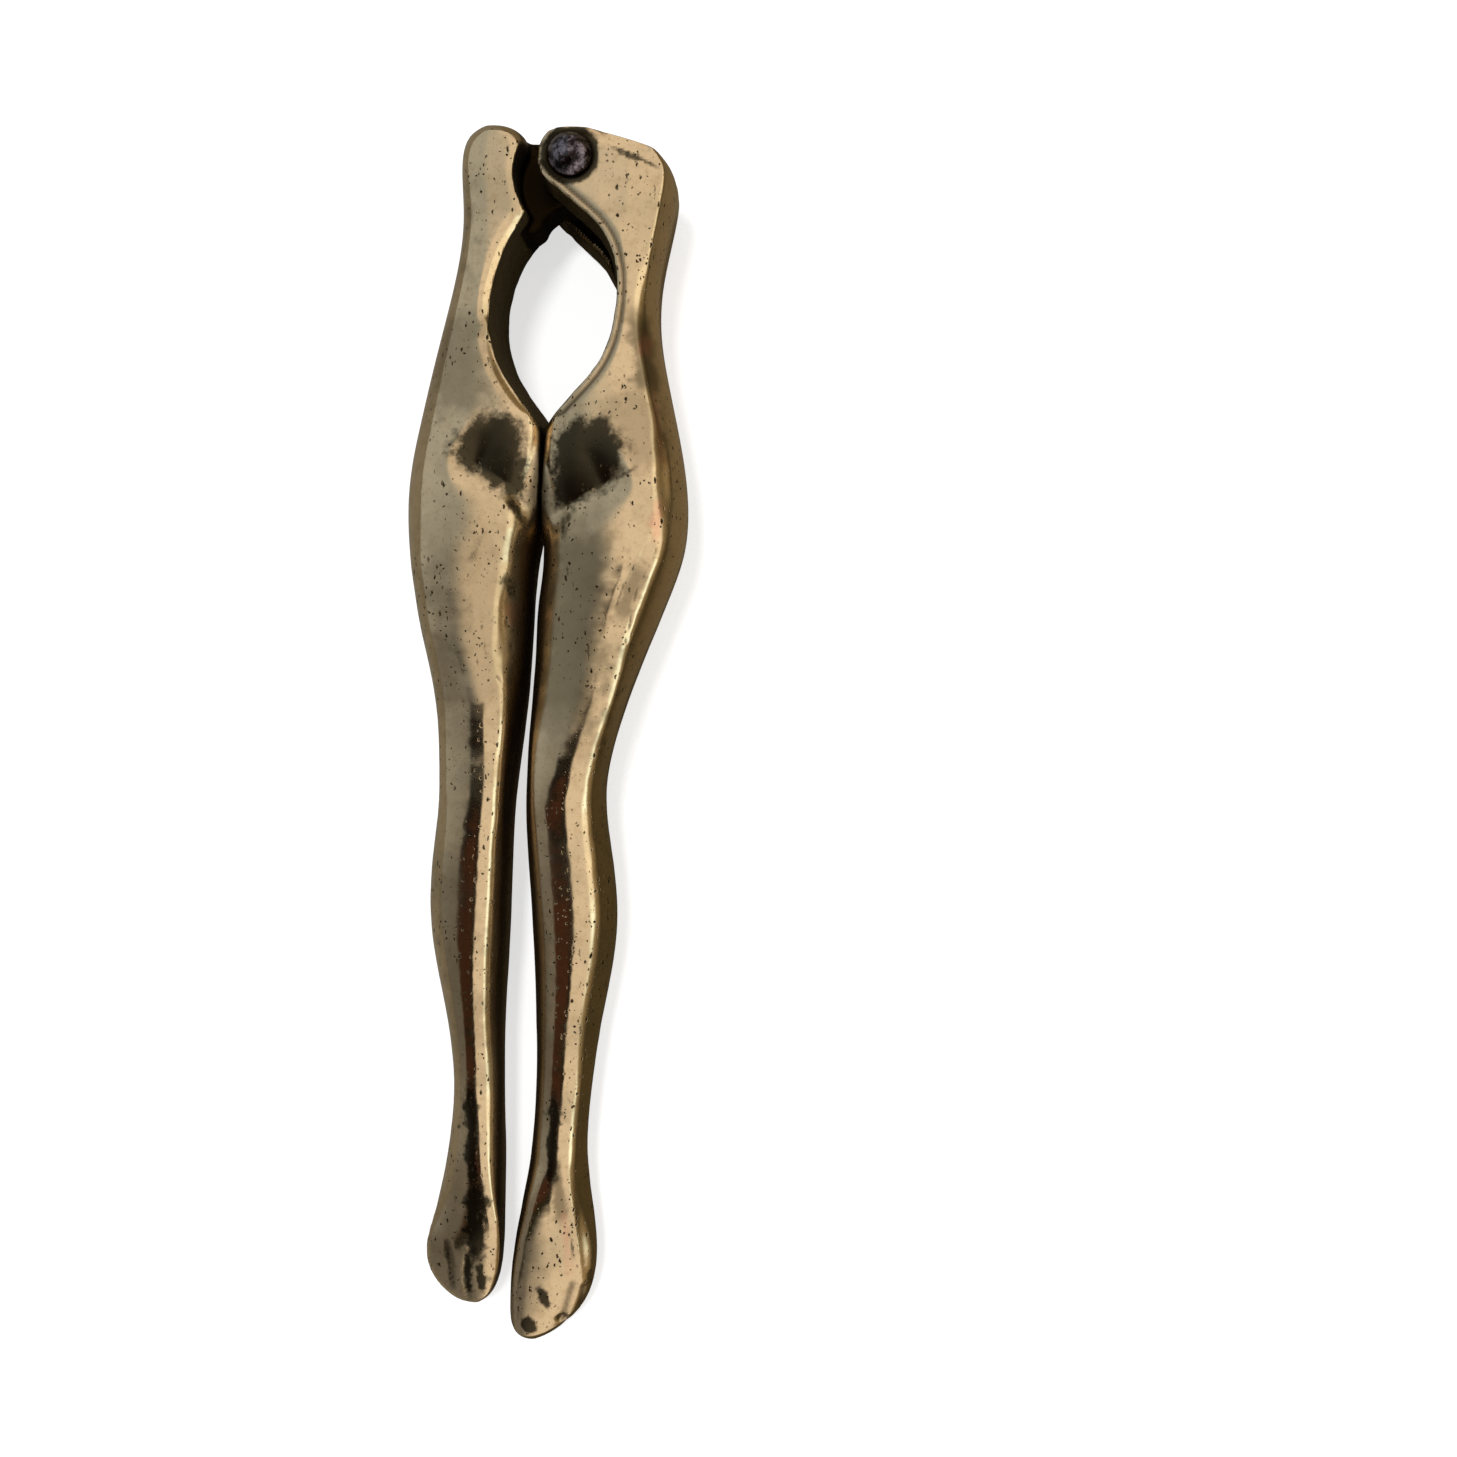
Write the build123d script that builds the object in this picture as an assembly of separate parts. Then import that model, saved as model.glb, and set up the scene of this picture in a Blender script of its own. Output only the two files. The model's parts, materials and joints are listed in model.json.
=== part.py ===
from build123d import *
import os
from collections import namedtuple
from math import cos, pi, sin

# A brass nutcracker shaped as a pair of legs, lying on its back with the rivet's head up.
# Sizes are millimetres. Shapes are drawn with the hinge axis along Z through x = 0, y = 0,
# the hips and feet towards -Y, and the back faces on z = 0. At the end everything moves so
# that the origin is at the middle of the whole object's underside.

HEAD_THICKNESS = 16.0       # over both cheeks of the fork
LEG_GAP = 0.3               # between the legs along the crotch, closed

EYE_RADIUS = 3.9            # rounded end of the fork's cheeks
TONGUE_RADIUS = 3.8         # rounded end of the tongue
TONGUE_THICKNESS = 5.2
TONGUE_CLEARANCE = 0.2      # each side of the tongue in the slot
SLOT_END_X = 4.25           # end wall of the slot, right of the hinge axis
SLOT_LENGTH = 24.0          # of its cutter, which runs out past the head and into the jaws

SHANK_RADIUS = 1.5          # rivet, tight in the fork
TONGUE_BORE_RADIUS = 1.56   # running fit on the shank
RIVET_HEAD_RADIUS = 2.5
RIVET_HEAD_HEIGHT = 1.7
RIVET_RIM_HEIGHT = 0.3      # straight flank below the dome
TAIL_RADIUS = 2.2           # peened into a countersink in the back cheek
TAIL_DEPTH = 0.8

MID_Z = HEAD_THICKNESS / 2
SECTION_POINTS = 24
CUT_MARGIN = 4.0            # how far the cutters run past the faces
FIELD = 320.0               # width of a cutter that trims a whole leg
HEAD_FLAT_REACH = 15.0      # how far the head's flat front runs each way from the hinge
WASTE_LEFT = -30.0          # straight outer sides of the cutters, clear of both legs
WASTE_RIGHT = 30.0
WASTE_TOP = 12.0
BOX_TOLERANCE = 0.02        # of the points that the overall box is read from
STANDING = (Align.CENTER, Align.CENTER, Align.MIN)
LEFTWARDS = (Align.MAX, Align.CENTER, Align.CENTER)

# One cross-section of a leg, square to the Y axis. The powers set how square its outer and
# inner halves are: 2 is an ellipse, and larger is nearer to a rectangle.
Station = namedtuple("Station", "y outer inner back front outer_power inner_power")

LEFT_STATIONS = [
    Station(4.3, -11.6, -6.6, 2.6, 13.4, 2.4, 2.6),     # rounded top of the column
    Station(3.7, -12.5, -5.6, 1.0, 15.0, 2.6, 3.0),
    Station(2.2, -13.0, -4.8, -0.1, 16.1, 2.9, 4.0),
    Station(-5.0, -13.0, -4.2, -0.2, 16.2, 3.0, 5.0),
    Station(-12.0, -13.8, -3.6, -0.2, 16.1, 3.0, 5.0),
    Station(-20.0, -15.9, -3.0, -0.1, 16.0, 2.9, 4.5),  # beside the jaws
    Station(-30.0, -18.4, -2.8, -0.1, 16.3, 2.6, 4.0),
    Station(-38.0, -19.7, -3.3, -0.2, 16.5, 2.4, 3.2),  # hip
    Station(-44.0, -19.6, -4.5, -0.1, 16.2, 2.3, 2.6),
    Station(-52.0, -18.6, -5.3, 0.3, 15.4, 2.2, 2.4),   # thigh
    Station(-61.0, -16.9, -6.0, 0.9, 14.2, 2.2, 2.2),
    Station(-69.0, -16.3, -7.0, 1.5, 13.2, 2.2, 2.2),
    Station(-76.0, -16.8, -7.7, 1.5, 13.0, 2.2, 2.2),   # knee
    Station(-85.0, -17.8, -8.2, 0.1, 12.2, 2.2, 2.2),
    Station(-91.0, -17.5, -8.5, -0.2, 11.6, 2.1, 2.1),  # calf
    Station(-99.0, -16.1, -9.0, 0.6, 10.4, 2.0, 2.0),
    Station(-107.0, -15.2, -9.1, 1.8, 9.2, 2.0, 2.0),   # ankle
    Station(-113.0, -15.6, -9.1, 1.0, 9.1, 2.0, 2.0),
    Station(-119.0, -16.7, -9.2, -0.2, 8.9, 2.1, 2.1),  # heel
    Station(-125.0, -18.1, -9.3, 0.6, 7.6, 2.2, 2.2),
    Station(-129.0, -18.6, -9.5, 1.2, 6.6, 2.3, 2.3),   # toes
    Station(-132.0, -17.8, -10.0, 1.6, 5.8, 2.3, 2.3),
    Station(-134.0, -16.2, -10.9, 2.0, 5.1, 2.2, 2.2),
]
LEFT_TIP = (-13.2, -135.4, 3.5)

RIGHT_STATIONS = [
    Station(6.0, 12.1, -4.9, -0.2, 16.2, 3.2, 6.0),     # above the head, cut away
    Station(-1.0, 12.25, -4.9, -0.2, 16.2, 3.2, 6.0),
    Station(-6.0, 11.4, -4.6, -0.2, 16.2, 3.1, 6.0),
    Station(-12.0, 10.2, -4.2, -0.2, 16.1, 3.0, 5.0),
    Station(-18.0, 10.0, -3.8, -0.1, 16.0, 2.9, 4.5),   # beside the jaws
    Station(-24.0, 10.9, -3.6, -0.1, 16.0, 2.8, 4.2),
    Station(-31.0, 12.3, -3.7, -0.1, 16.3, 2.6, 4.0),
    Station(-38.0, 13.2, -4.4, -0.2, 16.5, 2.4, 3.2),   # hip
    Station(-44.0, 12.8, -3.9, -0.1, 16.2, 2.3, 2.6),
    Station(-50.0, 10.7, -4.6, 0.2, 15.6, 2.2, 2.4),    # thigh
    Station(-57.0, 7.8, -5.1, 0.6, 14.8, 2.2, 2.2),
    Station(-65.0, 4.9, -5.8, 1.3, 13.8, 2.2, 2.2),
    Station(-73.0, 3.4, -6.1, 1.7, 13.2, 2.2, 2.2),
    Station(-79.0, 3.9, -6.0, 1.1, 12.9, 2.2, 2.2),     # knee
    Station(-87.0, 4.6, -5.6, 0.0, 12.2, 2.2, 2.2),
    Station(-93.0, 4.1, -5.4, -0.2, 11.4, 2.1, 2.1),    # calf
    Station(-101.0, 2.6, -5.2, 0.6, 10.2, 2.0, 2.0),
    Station(-109.0, 1.4, -5.3, 1.8, 9.1, 2.0, 2.0),     # ankle
    Station(-115.0, 0.9, -5.8, 1.1, 9.0, 2.0, 2.0),
    Station(-121.0, 1.2, -6.7, -0.2, 8.8, 2.1, 2.1),    # heel
    Station(-127.0, 1.9, -7.9, 0.5, 7.6, 2.2, 2.2),
    Station(-132.0, 1.6, -8.6, 1.2, 6.4, 2.3, 2.3),     # toes
    Station(-136.0, -0.2, -8.8, 1.7, 5.4, 2.3, 2.3),
    Station(-138.4, -2.7, -8.5, 2.1, 4.8, 2.2, 2.2),
]
RIGHT_TIP = (-6.0, -140.1, 3.4)

# Outlines seen from the front. The jaw walls rise from the crotch, where the legs meet, and
# they lean: their back edges lie nearer to the hinge than their front edges.
LEFT_PARTING = [(-3.35, -30.9), (-4.3, -43.5)]
LEFT_JAW_FRONT = [(-5.8, -27.7), (-8.3, -23.6), (-9.3, -18.5), (-8.5, -13.2), (-6.9, -9.3)]
LEFT_JAW_BACK = [(-5.8, -24.8), (-8.3, -20.7), (-9.4, -15.7), (-8.7, -10.5), (-7.0, -6.6)]
RIGHT_JAW_FRONT = [(-0.5, -27.8), (3.2, -23.4), (5.1, -17.5), (4.8, -11.0), (3.6, -8.5), (1.5, -6.3)]
RIGHT_JAW_BACK = [(-0.5, -24.9), (3.0, -20.8), (4.9, -15.0), (3.6, -9.5), (2.2, -7.4), (0.2, -5.5)]
CROTCH_LEAN = 2.9           # how far the back of the crotch lies above its front
LEFT_CORNER_FRONT = (-5.0, -6.2)
LEFT_CORNER_BACK = (-4.9, -4.2)
SHOULDER_MIDDLE = (-6.4, -1.6)
SHOULDER_TOP = (-5.3, 2.0)
CHEEK_START_ANGLE = -115.0  # where the cheek's edge leaves the round eye, degrees
CHEEK_END_ANGLE = 130.0     # where the head's top begins
HEAD_TOP = [(0.0, 3.4), (4.2, 2.8), (7.4, 1.9), (10.5, 0.5), (12.2, -1.5)]
HEAD_CORNER = (12.8, -4.0)
TONGUE_ROOT_X = -9.0
TONGUE_OUTLINE = [
    (0, TONGUE_RADIUS),
    (TONGUE_ROOT_X, 3.7),
    (TONGUE_ROOT_X, -7.0),
    (-5.0, -7.0),
    (-3.9, -6.2),
    (-3.3, -4.9),
    (-1.4, -3.5),
]


def signed_power(value, exponent):
    """Raise the size of value to exponent and keep its sign."""
    return abs(value) ** exponent * (1 if value >= 0 else -1)


def section(station):
    """Closed cross-section of a leg, as a face square to Y."""
    middle_x = (station.outer + station.inner) / 2
    middle_z = (station.front + station.back) / 2
    half_x = (station.outer - station.inner) / 2
    half_z = (station.front - station.back) / 2
    points = []
    for step in range(SECTION_POINTS):
        angle = 2 * pi * step / SECTION_POINTS
        power = station.outer_power if cos(angle) > 0 else station.inner_power
        x = middle_x + half_x * signed_power(cos(angle), 2 / power)
        z = middle_z + half_z * signed_power(sin(angle), 2 / power)
        points.append((x, station.y, z))
    return Face(Wire([Spline(points, periodic=True)]))


def leg_body(stations, tip):
    """Solid leg through its cross-sections, flat at the back and on the head's front."""
    body = loft([section(station) for station in stations] + [Vertex(*tip)])
    below = Pos(0, 0, -CUT_MARGIN / 2) * Box(FIELD, FIELD, CUT_MARGIN)
    before_head = Box(FIELD, 2 * HEAD_FLAT_REACH, CUT_MARGIN, align=STANDING)
    before_head = Pos(0, 0, HEAD_THICKNESS) * before_head
    return body - below - before_head


def leaning_cutter(back_outline, front_outline):
    """Cutter through the whole thickness, from the outline at the back to the front one."""
    levels = [
        Pos(0, 0, -CUT_MARGIN) * back_outline,
        back_outline,
        Pos(0, 0, HEAD_THICKNESS) * front_outline,
        Pos(0, 0, HEAD_THICKNESS + CUT_MARGIN) * front_outline,
    ]
    return loft(levels, ruled=True)


def left_waste(jaw_points, crotch_rise, corner):
    """All that lies right of the left leg's inner edge, down to the end of the parting."""
    parting_end = LEFT_PARTING[1]
    crotch = (LEFT_PARTING[0][0], LEFT_PARTING[0][1] + crotch_rise)
    jaw = Spline([crotch] + jaw_points + [corner])
    shoulder = ThreePointArc(corner, SHOULDER_MIDDLE, SHOULDER_TOP)
    outside = Polyline(
        SHOULDER_TOP,
        (SHOULDER_TOP[0], WASTE_TOP),
        (WASTE_RIGHT, WASTE_TOP),
        (WASTE_RIGHT, parting_end[1]),
        parting_end,
    )
    return make_face([jaw, shoulder, outside, Line(parting_end, crotch)])


def right_waste(jaw_points, crotch_rise):
    """All that lies left of the right leg's inner edge, and above its head."""
    parting_end = (LEFT_PARTING[1][0] + LEG_GAP, LEFT_PARTING[1][1])
    crotch = (LEFT_PARTING[0][0] + LEG_GAP, LEFT_PARTING[0][1] + crotch_rise)
    eye_start = Vector(EYE_RADIUS, 0).rotate(Axis.Z, CHEEK_START_ANGLE)
    eye_end = Vector(EYE_RADIUS, 0).rotate(Axis.Z, CHEEK_END_ANGLE)
    jaw = Spline([crotch] + jaw_points + [eye_start])
    eye = ThreePointArc(eye_start, (-EYE_RADIUS, 0), eye_end)
    top = Spline([eye_end] + HEAD_TOP + [HEAD_CORNER])
    outside = Polyline(
        HEAD_CORNER,
        (WASTE_RIGHT, HEAD_CORNER[1]),
        (WASTE_RIGHT, WASTE_TOP),
        (WASTE_LEFT, WASTE_TOP),
        (WASTE_LEFT, parting_end[1]),
        parting_end,
    )
    return make_face([jaw, eye, top, outside, Line(parting_end, crotch)])


def tongue():
    """Flat lug of the left leg that turns in the fork, round the hinge axis."""
    plate = make_face(Polyline(*TONGUE_OUTLINE, close=True)) + Circle(TONGUE_RADIUS)
    return Pos(0, 0, MID_Z - TONGUE_THICKNESS / 2) * extrude(plate, TONGUE_THICKNESS)


def slot():
    """Space between the fork's two cheeks, open to the left, the top and the jaws."""
    width = TONGUE_THICKNESS + 2 * TONGUE_CLEARANCE
    return Pos(SLOT_END_X, 0, MID_Z) * Box(SLOT_LENGTH, SLOT_LENGTH, width, align=LEFTWARDS)


def rivet():
    """Domed head, shank and peened tail, turned about the hinge axis."""
    head_base = Pos(0, 0, HEAD_THICKNESS)
    head = head_base * Cylinder(RIVET_HEAD_RADIUS, RIVET_HEAD_HEIGHT, align=STANDING)
    dome_height = RIVET_HEAD_HEIGHT - RIVET_RIM_HEIGHT
    dome_radius = (RIVET_HEAD_RADIUS**2 + dome_height**2) / (2 * dome_height)
    dome = head_base * Pos(0, 0, RIVET_HEAD_HEIGHT - dome_radius) * Sphere(dome_radius)
    shank = Cylinder(SHANK_RADIUS, HEAD_THICKNESS, align=STANDING)
    tail = Cone(TAIL_RADIUS, SHANK_RADIUS, TAIL_DEPTH, align=STANDING)
    return (head & dome) + shank + tail


def hinge_bore(radius):
    """Straight bore on the hinge axis through the whole head."""
    return Pos(0, 0, MID_Z) * Cylinder(radius, HEAD_THICKNESS + 2 * CUT_MARGIN)


def left_leg():
    """Leg with the tongue."""
    waste = leaning_cutter(
        left_waste(LEFT_JAW_BACK, CROTCH_LEAN, LEFT_CORNER_BACK),
        left_waste(LEFT_JAW_FRONT, 0, LEFT_CORNER_FRONT),
    )
    body = leg_body(LEFT_STATIONS, LEFT_TIP) - waste
    return body + tongue() - hinge_bore(TONGUE_BORE_RADIUS)


def right_leg():
    """Leg with the fork."""
    waste = leaning_cutter(
        right_waste(RIGHT_JAW_BACK, CROTCH_LEAN),
        right_waste(RIGHT_JAW_FRONT, 0),
    )
    body = leg_body(RIGHT_STATIONS, RIGHT_TIP) - waste
    return body - slot() - rivet()


def bottom_centre(parts):
    """Middle of the underside of the box round all parts."""
    points = [point for part in parts for point in part.tessellate(BOX_TOLERANCE)[0]]
    xs = [point.X for point in points]
    ys = [point.Y for point in points]
    zs = [point.Z for point in points]
    print("overall size", max(xs) - min(xs), max(ys) - min(ys), max(zs) - min(zs))
    return Vector((min(xs) + max(xs)) / 2, (min(ys) + max(ys)) / 2, min(zs))


def main():
    os.makedirs("parts", exist_ok=True)
    parts = {"left_leg": left_leg(), "right_leg": right_leg(), "rivet": rivet()}
    origin = bottom_centre(parts.values())
    for name, part in parts.items():
        export_step(Pos(-origin) * part, f"parts/{name}.step")
    print("hinge axis at", -origin)


main()
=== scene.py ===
"""A cast brass nutcracker in the shape of two legs, lying on a pale floor.

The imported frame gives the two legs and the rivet. Here each leg becomes a fine, even mesh that
is worked like the real casting: softened edges, groin creases, toes, dents and scratches. The
metals are procedural. The brass adds pits and nicks, and reads masks stored on the legs' meshes.
"""

import json
import math

import bmesh
import bpy
import numpy as np
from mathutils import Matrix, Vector
from mathutils.bvhtree import BVHTree
from mathutils.kdtree import KDTree
from mathutils.noise import fractal


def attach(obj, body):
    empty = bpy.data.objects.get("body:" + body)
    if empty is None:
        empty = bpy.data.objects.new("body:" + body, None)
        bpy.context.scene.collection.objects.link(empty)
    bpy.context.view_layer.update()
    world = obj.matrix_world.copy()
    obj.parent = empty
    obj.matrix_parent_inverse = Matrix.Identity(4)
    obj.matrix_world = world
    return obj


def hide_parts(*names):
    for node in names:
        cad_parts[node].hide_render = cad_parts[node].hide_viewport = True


MM = 0.001

# Shapes below are drawn in millimetres from the hinge axis, with z up from the floor.
HEAD_FRONT = 16.0           # height of the flat cheeks
VOXEL = 0.28                # of the even meshes
SOFTENING_ROUNDS = 7
SOFTENING = 0.5
WORKED_ROUNDS = 3           # more softening, after the castings' bevels are cut

CREASE_WIDTH = 2.3          # of the groin's lower slope
GROIN_DEPTH = 1.5
GROIN_REACH = 7.5
LEFT_CREASE = ((-11.4, -34.5), (-4.6, -38.6))
RIGHT_CREASE = ((-2.4, -40.4), (4.6, -36.7))
# Corners of the patches above the creases, anticlockwise, where a dark reflection is painted.
LEFT_PATCH = [
    (-13.1, -33.8),
    (-9.5, -37.0),
    (-6.3, -38.7),
    (-4.5, -38.3),
    (-4.7, -35.0),
    (-5.9, -30.6),
    (-8.5, -29.2),
    (-12.4, -31.6),
]
RIGHT_PATCH = [
    (-2.4, -39.5),
    (-1.2, -40.1),
    (3.9, -37.4),
    (5.2, -35.7),
    (6.3, -33.0),
    (4.3, -30.2),
    (0.1, -30.3),
    (-1.8, -32.0),
]

PATCH_BLUR = 1.7
PATCH_RAGGED = 0.9          # how far noise moves the patches' edges

# Swells along the fronts, at both knees and on the left foot: place, reach, height.
LEFT_SWELLS = [(-65.5, 8.0, 0.65), (-71.5, 5.0, 0.22), (-127.0, 5.0, 0.55)]
RIGHT_SWELLS = [(-65.5, 8.0, 0.65), (-71.5, 5.0, 0.22)]

# How far the crown of a section lies to the right of the section's middle, down the leg.
LEFT_LEAN = [
    (-40.0, 0.0),
    (-46.0, -1.2),
    (-54.0, -1.2),
    (-62.0, 0.6),
    (-85.0, 0.8),
    (-97.0, 0.2),
    (-108.0, -0.3),
    (-117.0, 0.8),
    (-124.0, 2.1),
    (-134.0, 2.1),
]
RIGHT_LEAN = [
    (-40.0, 0.0),
    (-46.0, 0.7),
    (-62.0, 1.3),
    (-68.0, 0.3),
    (-74.0, -0.4),
    (-87.0, -0.4),
    (-117.0, -0.3),
    (-121.0, -1.2),
    (-126.0, -1.9),
    (-138.0, -1.9),
]

# Long dents, raised where the depth is below zero: start, end, width, depth.
LEFT_DENTS = [
    ((-6.9, -48.0), (-8.2, -59.0), 1.1, 0.22),
    ((-15.5, -15.0), (-17.5, -28.0), 2.0, 0.12),
    ((-9.5, -62.0), (-9.0, -70.0), 0.7, 0.08),
]
RIGHT_DENTS = [
    ((9.6, -43.0), (5.0, -54.0), 1.0, 0.25),
    ((8.2, -18.0), (10.6, -30.0), 0.9, 0.16),
    ((10.4, -30.0), (10.8, -40.0), 0.8, 0.14),
    ((5.2, -57.0), (2.8, -64.0), 0.8, 0.08),
    ((-0.9, -120.5), (0.1, -132.5), 0.5, -0.18),
]

# Old scratches that enclose a worn spot on the left thigh and a long one on the right thigh.
SCRATCH_WIDTH = 0.16
SCRATCH_DEPTH = 0.05
LEFT_SCRATCHES = [
    [(-7.4, -50.6), (-8.7, -51.8), (-10.0, -54.4), (-9.6, -57.6), (-8.3, -59.8), (-6.9, -59.4)],
    [(-8.0, -51.4), (-7.3, -53.4), (-7.1, -56.0)],
]
RIGHT_SCRATCHES = [
    [(9.2, -43.5), (6.2, -48.5), (4.2, -54.0)],
    [(9.8, -44.6), (7.6, -49.3), (6.2, -55.1)],
]

# Marks along lines: start, end, width, strength.
LEFT_HAZE = [
    ((-13.6, -2.0), (-14.6, -14.0), 2.2, 0.55),
    ((-14.0, -18.0), (-12.0, -29.0), 3.6, 0.6),
    ((-12.0, -40.0), (-11.5, -64.0), 4.5, 0.4),
    ((-13.8, -80.0), (-13.2, -105.0), 1.8, 0.4),
    ((-15.8, -118.0), (-15.6, -130.0), 2.4, 0.25),
]
RIGHT_HAZE = [
    ((1.6, -41.0), (-1.0, -66.0), 3.4, 0.85),
    ((8.0, -46.5), (5.6, -52.5), 0.8, 0.8),
    ((7.6, -17.5), (9.3, -27.0), 1.2, 1.0),
    ((6.0, -27.0), (9.5, -35.0), 2.6, 0.5),
    ((-4.6, -85.0), (-3.8, -112.0), 1.3, 0.4),
    ((-2.3, -116.5), (-1.9, -124.0), 0.5, 0.9),
]
# Painted pink reflection, on the left thigh, along the right leg's right side and on the right foot.
LEFT_PINK_REFLECTION = [((-6.8, -50.5), (-6.9, -53.3), 0.5, 1.0)]
RIGHT_PINK_REFLECTION = [
    ((8.8, -20.0), (8.6, -22.5), 0.6, 0.8),
    ((9.5, -26.5), (10.6, -34.5), 0.35, 0.7),
    ((10.2, -39.0), (9.7, -43.5), 0.4, 0.9),
    ((-1.6, -123.0), (-1.2, -130.5), 0.35, 0.6),
]
# Painted dark reflection and painted shade along lines: the dark reflection down the shins onto the
# feet, shade along the groin creases, the toes and the cheek's bevel, and dark marks on the left
# thigh and the right foot.
LEFT_DARK_STREAKS = [
    ((-13.6, -33.4), (-11.2, -35.8), 0.25, 0.55),
    ((-6.5, -38.8), (-5.1, -42.2), 0.5, 0.65),
    ((-7.4, -47.4), (-6.8, -50.4), 0.5, 0.5),
    ((-12.5, -107.0), (-12.3, -120.0), 0.55, 0.8),
    ((-12.2, -119.0), (-12.1, -129.0), 0.9, 0.85),
    ((-11.9, -129.2), (-11.8, -133.0), 0.45, 0.9),
    ((-13.3, -127.6), (-13.4, -133.6), 0.35, 0.75),
    ((-15.7, -127.0), (-15.5, -132.4), 0.22, 0.6),
]
RIGHT_DARK_STREAKS = [
    ((-1.7, -40.6), (-0.8, -43.6), 0.35, 0.45),
    ((3.8, -37.3), (7.6, -35.6), 0.25, 0.45),
    ((4.7, 0.9), (10.0, -1.3), 0.22, 0.6),
    ((-2.7, -108.5), (-3.0, -119.0), 0.45, 0.8),
    ((-4.9, -132.4), (-3.7, -135.2), 0.42, 0.8),
    ((-6.5, -136.6), (-6.1, -138.4), 0.6, 0.9),
]

TOE_GROOVE_WIDTH = 0.36
TOE_GROOVE_DEPTH = 0.12
LEFT_TOES = [
    [(-15.5, -126.6), (-15.1, -128.6), (-15.4, -132.8)],
    [(-12.8, -127.2), (-13.8, -130.6), (-13.5, -134.4)],
]
RIGHT_TOES = [
    [(-2.2, -137.4), (-1.6, -134.6), (-0.9, -132.2)],
    [(0.0, -135.6), (0.4, -132.9)],
    [(1.4, -133.4), (1.4, -131.4)],
]
TOE_NOTCH = (-2.3, -137.0)
TOE_NOTCH_WIDTH = 0.6
TOE_NOTCH_DEPTH = 0.45

COLUMN_ROUNDS = 80          # more softening, for the column's outer side
CHEEK_ROUNDS = 25           # and for the cheek's
CHEEK_SHOULDER = 0.45       # share by which the cheek's outer shoulder is squared up
RIM_WIDTH = 0.8             # raised rim along the cheek's edge, up to its groove
RIM_GROOVE_WIDTH = 0.3
RIM_GROOVE_DEPTH = 0.2
RIM_LOWEST = 15.5           # edges below this height aren't the front's
RIM_STEP = 0.15
SEAM_LEVEL = 0.001          # edges as level as this are seams between lofts, not the rim
JAW_CHAMFER = 0.95
JAW_CHAMFER_DEPTH = 0.8
LEAN_LOW = 3.5              # the sections keep their place below, and lean fully above
LEAN_HIGH = 6.0
LEFT_ROLL = (0.45, 2.4, 0.4)    # how far the thigh's inner side falls, from where, to where
RIGHT_ROLL = (0.5, 1.8, 0.2)
TOP_BEVEL = 1.5
TOP_BEVEL_DEPTH = 0.9
JAW_CENTRE = np.array([-2.0, -17.0])
JAW_ROUGHNESS = 0.06        # relief of the walls, left as cast
CROTCH = -44.0              # above this the legs' upright walls all but touch
SLOT_HALF = 2.95            # half of the slot's thickness in the fork, with a margin
SLOT_END = 4.6
SLOT_BOTTOM = -12.0
TONGUE_BOTTOM = -8.0
BORE_RADIUS = 1.58          # tongue's bore, around a shank of 1.5

RIVET_HEAD = 2.5
RIVET_SHANK = 1.5
RIVET_TOP = 17.7
RIVET_RIM = 0.3
RIVET_TAIL = 2.2
RIVET_TAIL_DEPTH = 0.8
DOME_RINGS = 18
RIVET_SIDES = 72
HEAD_CLEARANCE = 0.02       # of the rivet's head above the cheek

FLOOR_LEVEL = -0.02 * MM    # just clear of the castings
FLOOR_SIZE = 3.0            # metres
FLOOR_GLOW = 0.64

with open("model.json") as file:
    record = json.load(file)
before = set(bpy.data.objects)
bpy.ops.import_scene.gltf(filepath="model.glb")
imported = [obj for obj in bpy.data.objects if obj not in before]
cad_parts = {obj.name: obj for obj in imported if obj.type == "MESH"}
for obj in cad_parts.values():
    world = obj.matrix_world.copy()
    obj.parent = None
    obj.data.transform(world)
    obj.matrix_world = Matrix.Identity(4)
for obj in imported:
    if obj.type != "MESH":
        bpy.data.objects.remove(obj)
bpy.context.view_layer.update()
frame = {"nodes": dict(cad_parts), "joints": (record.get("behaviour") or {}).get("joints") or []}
hinge = Vector(frame["joints"][0]["pos_m"])


# ---------------------------------------------------------------- small helpers


def smooth_step(low, high, value):
    """0 below low, 1 above high, smooth between."""
    t = np.clip((value - low) / (high - low), 0.0, 1.0)
    return t * t * (3 - 2 * t)


def bump(distance, width):
    """1 at no distance, falling smoothly to about 0 at twice the width."""
    return np.exp(-((distance / width) ** 2))


def noise_field(points, wavelength, seed, octaves=2):
    """Smooth random values, about -1 to 1, that change over the wavelength."""
    shift = Vector((seed * 17.3, seed * -9.1, seed * 5.7))
    return np.array([fractal(Vector(p) / wavelength + shift, 1.0, 2.0, octaves) for p in points])


def to_hinge(points):
    """Metres in the frame to millimetres from the hinge axis."""
    return (points - np.array([hinge.x, hinge.y, 0.0])) / MM


def from_hinge(points):
    return points * MM + np.array([hinge.x, hinge.y, 0.0])


def link(obj):
    bpy.context.scene.collection.objects.link(obj)
    return obj


def mesh_points(mesh):
    flat = np.zeros(len(mesh.vertices) * 3)
    mesh.vertices.foreach_get("co", flat)
    return flat.reshape(-1, 3)


def mesh_normals(mesh):
    flat = np.zeros(len(mesh.vertices) * 3)
    mesh.vertex_normals.foreach_get("vector", flat)
    return flat.reshape(-1, 3)


def set_points(mesh, points):
    mesh.vertices.foreach_set("co", points.ravel())
    mesh.update()


def strongest(*masks):
    return np.maximum.reduce(masks)


def set_mask(mesh, name, values):
    """Stores a 0 to 1 mask on the mesh's points for the materials."""
    attribute = mesh.attributes.new(name, "FLOAT", "POINT")
    attribute.data.foreach_set("value", np.clip(values, 0, 1).astype(np.float32))


# ---------------------------------------------------------------- even meshes from the frame


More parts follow.
